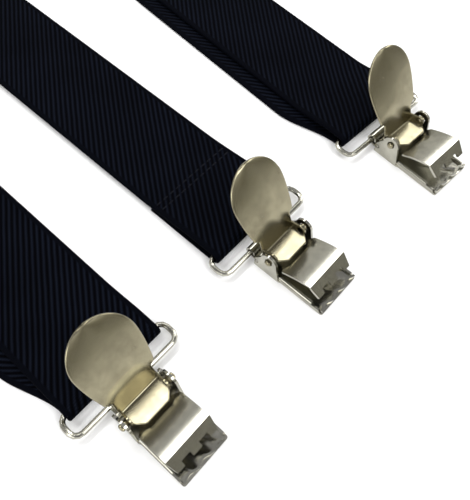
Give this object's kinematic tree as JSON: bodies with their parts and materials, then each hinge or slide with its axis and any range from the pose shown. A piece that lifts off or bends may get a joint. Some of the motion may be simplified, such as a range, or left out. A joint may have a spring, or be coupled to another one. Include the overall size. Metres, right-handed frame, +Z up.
{
  "type": "suspenders",
  "caption": "Y-back suspenders laid flat: wide elastic straps meeting at a leather patch, with strap adjusters and flip-lever metal clips on wire rings.",
  "frame": {"origin": "on the underside of the back clip's base, under its lever pivot, level with the surface the clips lie on", "axes": "+X out of the clip mouths, along the straps; +Y to the wearer's right; +Z up from the surface, on the straps' outer side"},
  "size_m": [0.4876, 0.2118, 0.0345],
  "materials": {
    "elastic": "matte, diagonal rib",
    "leather": "smooth",
    "nickel": "polished plate",
    "satin_nickel": "satin plate"
  },
  "bodies": {
    "straps": {"back_strap": "elastic", "left_front_strap": "elastic", "right_front_strap": "elastic", "patch_inner": "leather", "patch_outer": "leather", "left_adjuster_frame": "nickel", "right_adjuster_frame": "nickel"},
    "left_ring": {"left_ring": "nickel"},
    "left_clip_base": {"left_clip_base": "nickel"},
    "left_clip_jaw": {"left_clip_jaw": "nickel"},
    "left_clip_lever": {"left_clip_lever": "satin_nickel"},
    "back_ring": {"back_ring": "nickel"},
    "back_clip_base": {"back_clip_base": "nickel"},
    "back_clip_jaw": {"back_clip_jaw": "nickel"},
    "back_clip_lever": {"back_clip_lever": "satin_nickel"},
    "right_ring": {"right_ring": "nickel"},
    "right_clip_base": {"right_clip_base": "nickel"},
    "right_clip_jaw": {"right_clip_jaw": "nickel"},
    "right_clip_lever": {"right_clip_lever": "satin_nickel"},
    "left_adjuster_clamp": {"left_adjuster_clamp": "nickel"},
    "right_adjuster_clamp": {"right_adjuster_clamp": "nickel"}
  },
  "joints": [
    {"name": "left_ring_swing", "type": "hinge", "parent": "straps", "child": "left_ring", "pos_m": [-0.0136, -0.068, 0.0027], "axis": [0, -1, 0], "range_deg": [-70, 60]},
    {"name": "left_clip_swing", "type": "hinge", "parent": "left_ring", "child": "left_clip_base", "pos_m": [-0.0056, -0.068, 0.0027], "axis": [0, -1, 0], "range_deg": [-60, 55]},
    {"name": "left_lever_flip", "type": "hinge", "parent": "left_clip_base", "child": "left_clip_lever", "pos_m": [0.003, -0.068, 0.0082], "axis": [0, -1, 0], "range_deg": [-5, 55]},
    {"name": "left_jaw_bite", "type": "hinge", "parent": "left_clip_base", "child": "left_clip_jaw", "pos_m": [-0.0018, -0.068, 0.00307], "axis": [0, -1, 0], "range_deg": [-12, 1.2]},
    {"name": "back_ring_swing", "type": "hinge", "parent": "straps", "child": "back_ring", "pos_m": [-0.0166, 0, 0.0027], "axis": [0, -1, 0], "range_deg": [-70, 60]},
    {"name": "back_clip_swing", "type": "hinge", "parent": "back_ring", "child": "back_clip_base", "pos_m": [-0.0086, 0, 0.0027], "axis": [0, -1, 0], "range_deg": [-60, 55]},
    {"name": "back_lever_flip", "type": "hinge", "parent": "back_clip_base", "child": "back_clip_lever", "pos_m": [0, 0, 0.0082], "axis": [0, -1, 0], "range_deg": [-5, 55]},
    {"name": "back_jaw_bite", "type": "hinge", "parent": "back_clip_base", "child": "back_clip_jaw", "pos_m": [-0.0048, 0, 0.00307], "axis": [0, -1, 0], "range_deg": [-12, 1.2]},
    {"name": "right_ring_swing", "type": "hinge", "parent": "straps", "child": "right_ring", "pos_m": [-0.01355, 0.06933, 0.0027], "axis": [-0.0802, -0.9968, 0], "range_deg": [-70, 60]},
    {"name": "right_clip_swing", "type": "hinge", "parent": "right_ring", "child": "right_clip_base", "pos_m": [-0.00557, 0.06869, 0.0027], "axis": [-0.0802, -0.9968, 0], "range_deg": [-60, 55]},
    {"name": "right_lever_flip", "type": "hinge", "parent": "right_clip_base", "child": "right_clip_lever", "pos_m": [0.003, 0.068, 0.0082], "axis": [-0.0802, -0.9968, 0], "range_deg": [-5, 55]},
    {"name": "right_jaw_bite", "type": "hinge", "parent": "right_clip_base", "child": "right_clip_jaw", "pos_m": [-0.00178, 0.06839, 0.00307], "axis": [-0.0802, -0.9968, 0], "range_deg": [-12, 1.2]},
    {"name": "left_clamp_flip", "type": "hinge", "parent": "straps", "child": "left_adjuster_clamp", "pos_m": [-0.2646, -0.068, 0.0081], "axis": [0, -1, 0], "range_deg": [0, 110]},
    {"name": "right_clamp_flip", "type": "hinge", "parent": "straps", "child": "right_adjuster_clamp", "pos_m": [-0.26374, 0.08946, 0.0081], "axis": [-0.0802, -0.9968, 0], "range_deg": [0, 110]}
  ],
  "couplings": [
    {"joint": "left_jaw_bite", "follows": "left_lever_flip", "ratio": -0.218},
    {"joint": "back_jaw_bite", "follows": "back_lever_flip", "ratio": -0.218},
    {"joint": "right_jaw_bite", "follows": "right_lever_flip", "ratio": -0.218}
  ]
}
